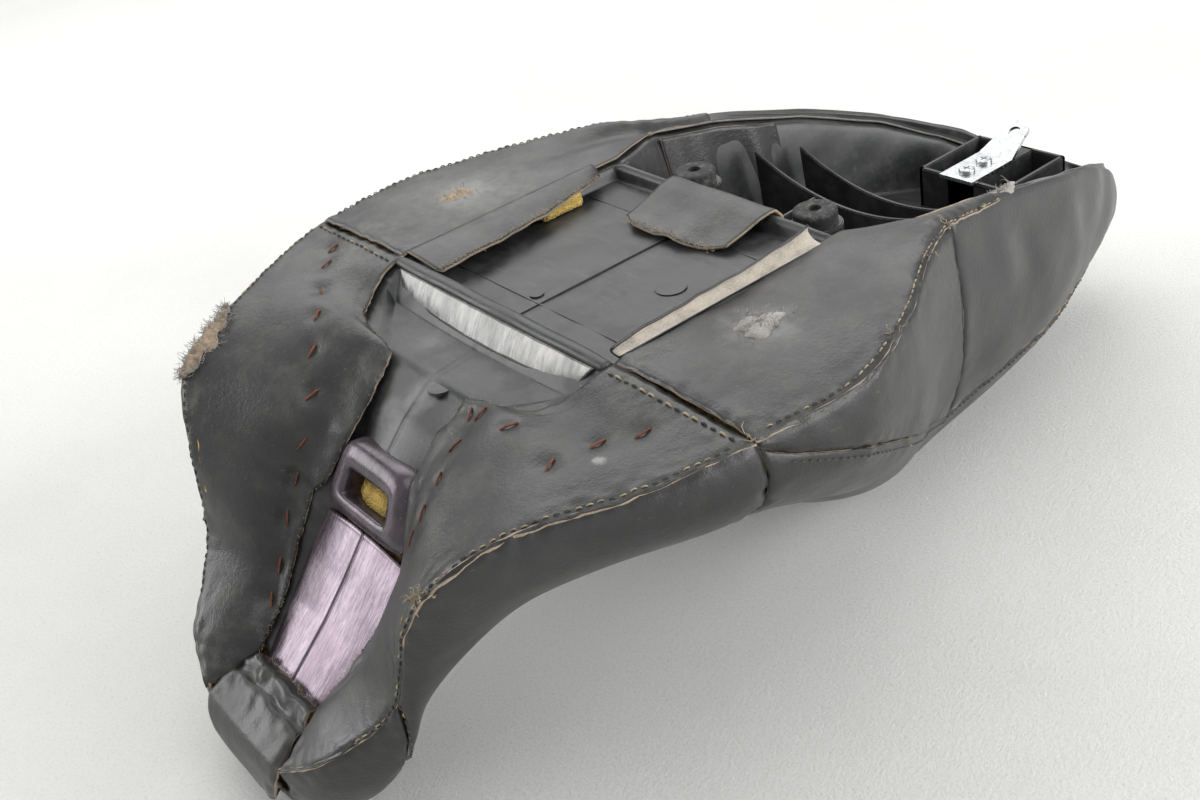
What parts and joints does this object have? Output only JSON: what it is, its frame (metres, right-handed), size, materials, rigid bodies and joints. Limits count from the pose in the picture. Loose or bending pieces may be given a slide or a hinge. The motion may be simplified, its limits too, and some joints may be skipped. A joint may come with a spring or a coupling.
{
  "type": "motorcycle seat",
  "caption": "Stepped two-up motorcycle seat with a vinyl cover stapled over a moulded pan and foam, a tongue socket in the nose and a bolt tab at the tail.",
  "frame": {"origin": "middle of the bounding box's bottom face, under the saddle's lowest point as the seat lies upside down", "axes": "+X towards the nose, +Y towards the rider's right, +Z out of the underside; the seat is stored lying on its saddle, so up when ridden is -Z"},
  "size_m": [0.7356, 0.4186, 0.2182],
  "materials": {
    "vinyl": "satin",
    "pan_plastic": "satin",
    "foam": "matte",
    "rubber": "matte",
    "zinc_plate": "satin",
    "zinc_fastener": "satin",
    "staple_wire": "rough"
  },
  "bodies": {
    "root": {"foam_bun": "foam", "nose_panel": "vinyl", "nose_skirt_panel": "vinyl", "passenger_boxing_left": "vinyl", "passenger_boxing_right": "vinyl", "passenger_facing_left": "vinyl", "passenger_facing_right": "vinyl", "passenger_top_panel": "vinyl", "rear_mounting_tab": "zinc_plate", "recess_flap_left": "vinyl", "recess_flap_right": "vinyl", "rider_facing_left": "vinyl", "rider_facing_right": "vinyl", "rider_saddle_panel": "vinyl", "rubber_buffer_left": "rubber", "rubber_buffer_right": "rubber", "seat_pan": "pan_plastic", "staples_left": "staple_wire", "staples_right": "staple_wire", "tab_screws": "zinc_fastener", "tab_tee_nuts": "zinc_fastener", "tail_panel": "vinyl", "tongue_flap": "vinyl", "tunnel_skirt_left": "vinyl", "tunnel_skirt_right": "vinyl"}
  },
  "joints": []
}
